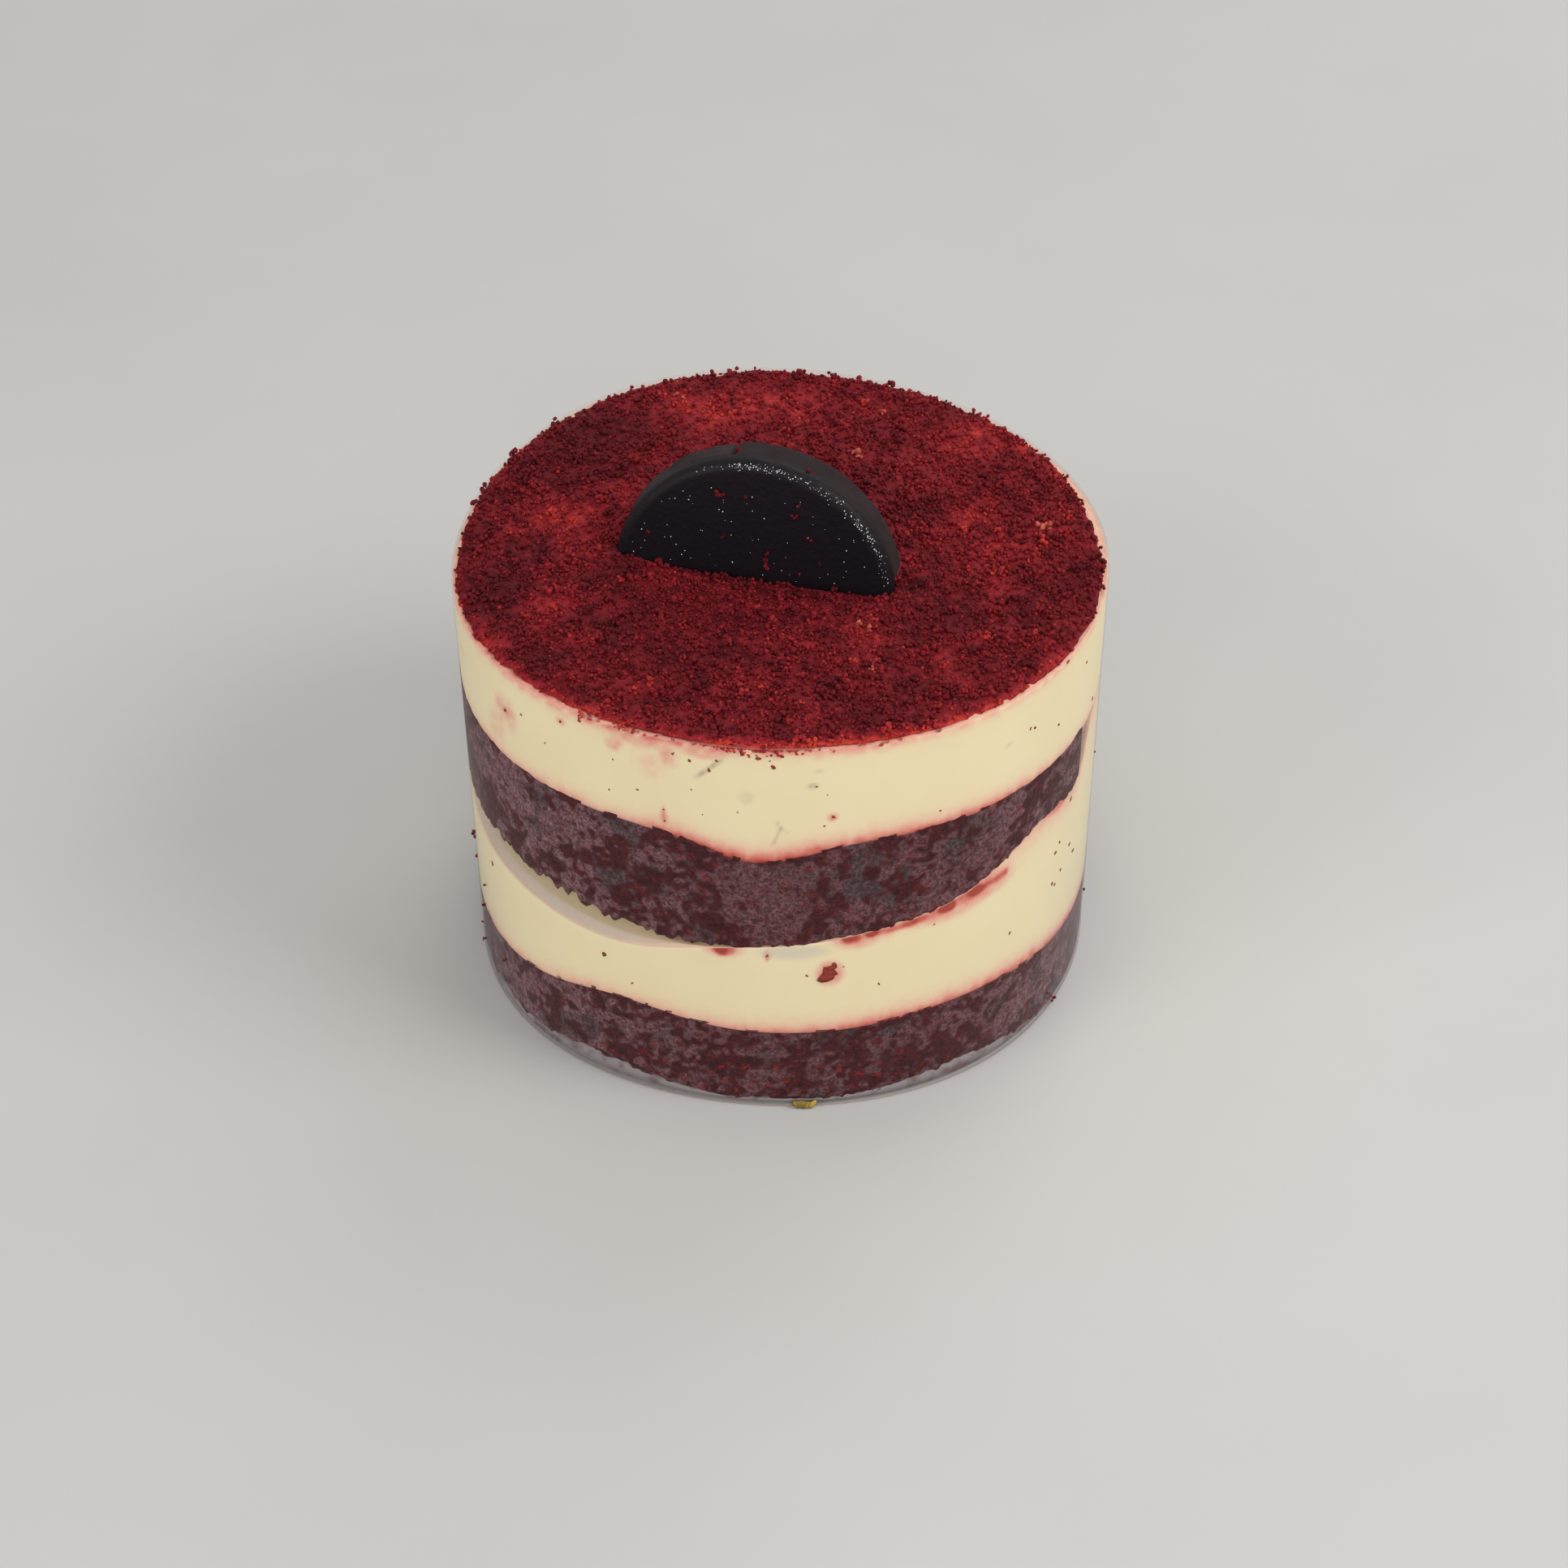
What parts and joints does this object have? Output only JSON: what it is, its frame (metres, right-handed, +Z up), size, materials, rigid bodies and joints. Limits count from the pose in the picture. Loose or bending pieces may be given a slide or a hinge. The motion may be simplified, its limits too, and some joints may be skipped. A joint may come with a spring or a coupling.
{
  "type": "red velvet cake cup",
  "caption": "Clear straight-sided cup filled to the rim with layers of red sponge and pale cream, under a coat of red crumbs with a dark chocolate half disc standing in it.",
  "frame": {"origin": "centre of the cup's base, on the surface that it stands on", "axes": "+Z up through the cup's rim, front towards -Y, where the chocolate disc shows its face"},
  "size_m": [0.0794, 0.0799, 0.0716],
  "materials": {
    "clear_plastic": "clear and glossy",
    "red_sponge": "open crumb, moist",
    "cream": "smooth and satin",
    "red_crumb": "crumbly and matte",
    "dark_chocolate": "glossy face, matte rim"
  },
  "bodies": {
    "root": {"cup": "clear_plastic", "lower_sponge": "red_sponge", "lower_cream": "cream", "upper_sponge": "red_sponge", "upper_cream": "cream", "crumb_topping": "red_crumb", "chocolate_disc": "dark_chocolate"}
  },
  "joints": []
}
